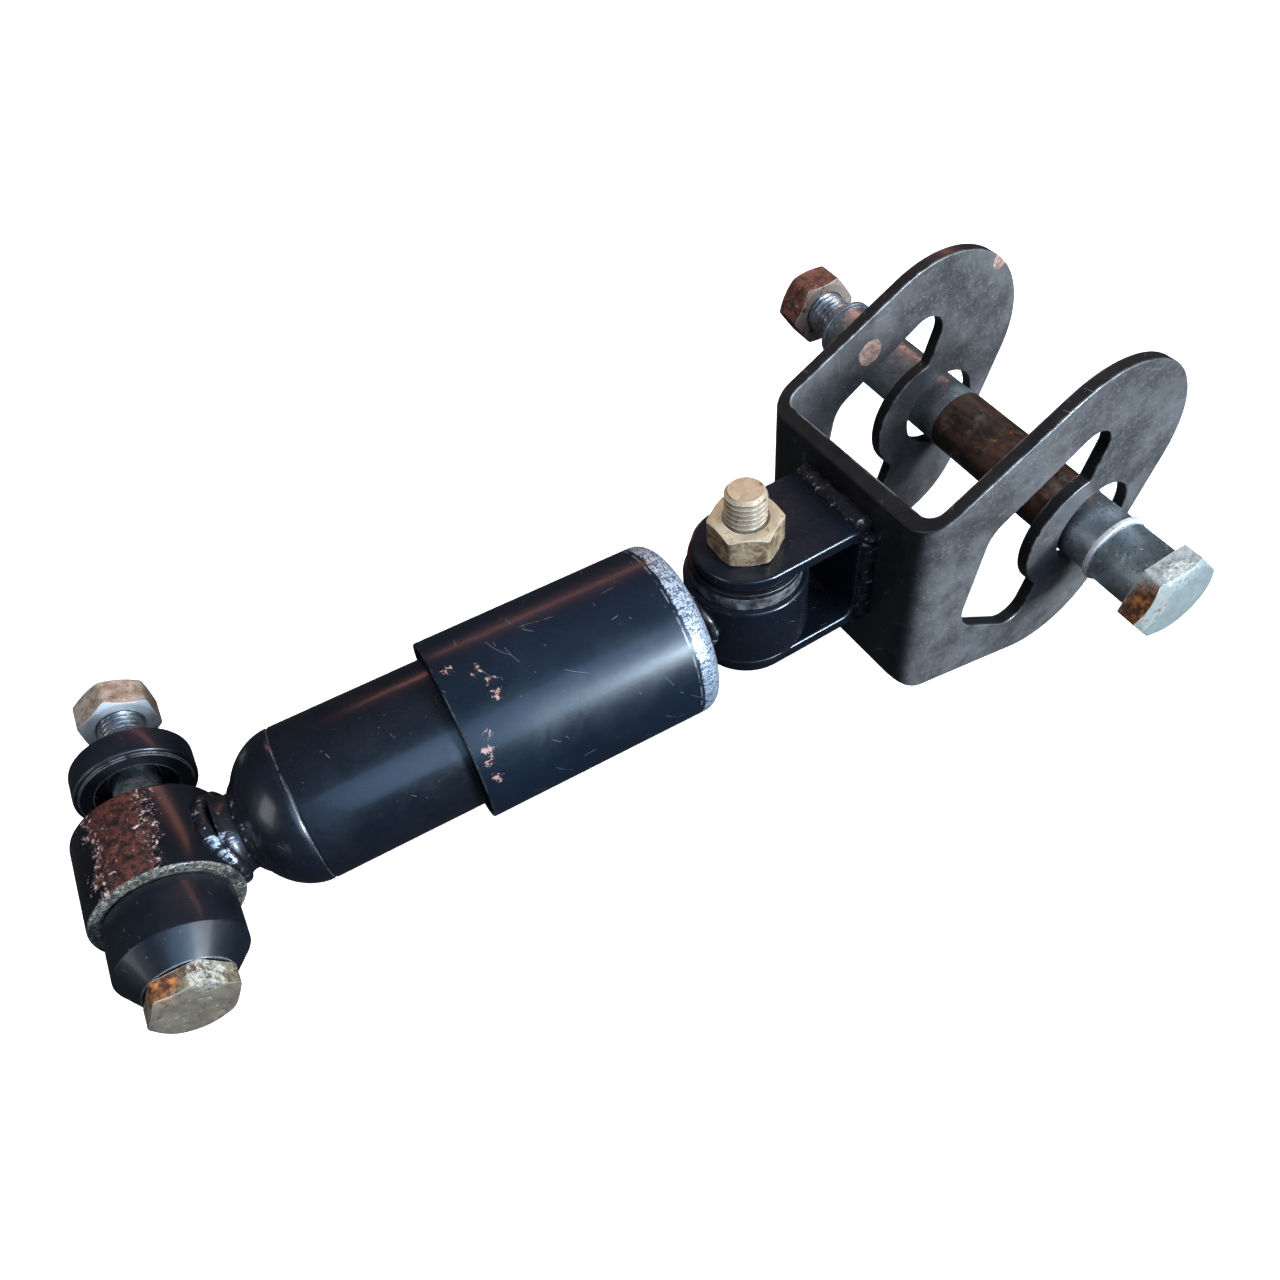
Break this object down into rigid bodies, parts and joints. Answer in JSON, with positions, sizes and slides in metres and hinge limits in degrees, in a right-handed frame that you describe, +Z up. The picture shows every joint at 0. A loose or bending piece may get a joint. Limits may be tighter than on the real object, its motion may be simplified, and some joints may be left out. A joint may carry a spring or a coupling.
{
  "type": "hydraulic damper arm",
  "caption": "Telescopic hydraulic damper arm with a bolted lower eye, a clevis at the rod end, and a welded slotted U bracket that carries a long sleeved pin.",
  "frame": {"origin": "centre of the lower eye, on the axis of the lower bolt", "axes": "+X along the damper towards the bracket, +Y along the lower bolt towards its nut, +Z up along the clevis bolt towards its nut"},
  "size_m": [0.3744, 0.2157, 0.1234],
  "materials": {
    "black_gloss": "gloss black paint, scratched and chipped",
    "black_satin": "satin black paint, worn to grey along its edges",
    "collar_black": "satin black, lightly scuffed",
    "weld": "painted weld bead",
    "yellow_zinc": "tarnished yellow zinc with rust",
    "pale_zinc": "dull bright zinc",
    "rusty_steel": "brown and orange rust",
    "plain_steel": "plain turned steel",
    "rod_chrome": "hard chrome, ground",
    "rubber": "aged rubber",
    "sintered": "sintered iron",
    "band": "bronze-filled plastic",
    "worn_cap": "black paint worn to bright steel"
  },
  "bodies": {
    "damper_tube": {"lower_eye": "black_satin", "lower_eye_weld": "weld", "base_cap": "black_gloss", "reserve_tube": "black_gloss", "pressure_tube": "plain_steel", "base_valve": "sintered", "rod_guide": "sintered", "rod_seal": "rubber", "lower_bush": "rubber"},
    "lower_sleeve": {"lower_inner_sleeve": "plain_steel", "lower_collar": "collar_black"},
    "lower_bolt_set": {"lower_bolt": "yellow_zinc", "lower_nut": "pale_zinc"},
    "loose_collar": {"upper_collar": "collar_black"},
    "piston_set": {"piston": "sintered", "piston_band": "band", "piston_nut": "plain_steel"},
    "rod_set": {"piston_rod": "rod_chrome", "dust_cover": "black_gloss", "cover_cap": "worn_cap", "upper_eye": "black_satin", "upper_eye_weld": "weld", "upper_bush": "rubber"},
    "bracket_set": {"upper_inner_sleeve": "plain_steel", "thrust_washers": "plain_steel", "clevis": "black_gloss", "clevis_weld": "weld", "bracket": "black_satin", "clevis_bolt": "yellow_zinc", "clevis_nut": "yellow_zinc"},
    "pin_sleeves": {"near_sleeve": "pale_zinc", "near_spacer": "pale_zinc", "near_washer": "pale_zinc", "middle_sleeve": "rusty_steel", "far_sleeve": "pale_zinc", "far_washer": "pale_zinc"},
    "pin_bolt": {"through_bolt": "pale_zinc", "through_nut": "rusty_steel"}
  },
  "joints": [
    {"name": "stroke", "type": "slide", "parent": "damper_tube", "child": "piston_set", "axis": [1, 0, 0], "range_m": [-0.028, 0.028]},
    {"name": "rod_spin", "type": "hinge", "parent": "piston_set", "child": "rod_set", "pos_m": [0.1, 0, 0], "axis": [1, 0, 0], "continuous": true},
    {"name": "clevis_swing", "type": "hinge", "parent": "rod_set", "child": "bracket_set", "pos_m": [0.2, 0, 0], "axis": [0, 0, 1], "range_deg": [-75, 70]},
    {"name": "lower_bush_twist", "type": "hinge", "parent": "damper_tube", "child": "lower_sleeve", "pos_m": [0, 0, 0], "axis": [0, 1, 0], "range_deg": [-20, 20], "stiffness_Nm_per_rad": 4},
    {"name": "lower_bolt_spin", "type": "hinge", "parent": "lower_sleeve", "child": "lower_bolt_set", "pos_m": [0, 0, 0], "axis": [0, 1, 0], "continuous": true},
    {"name": "collar_slide", "type": "slide", "parent": "lower_sleeve", "child": "loose_collar", "axis": [0, 1, 0], "range_m": [-0.0145, 0.017]},
    {"name": "pin_slide", "type": "slide", "parent": "bracket_set", "child": "pin_sleeves", "axis": [0, -1, 0], "range_m": [-0.01, 0.056]},
    {"name": "pin_spin", "type": "hinge", "parent": "pin_sleeves", "child": "pin_bolt", "pos_m": [0.32023, 0.0063, -0.0042], "axis": [0, 1, 0], "continuous": true}
  ]
}
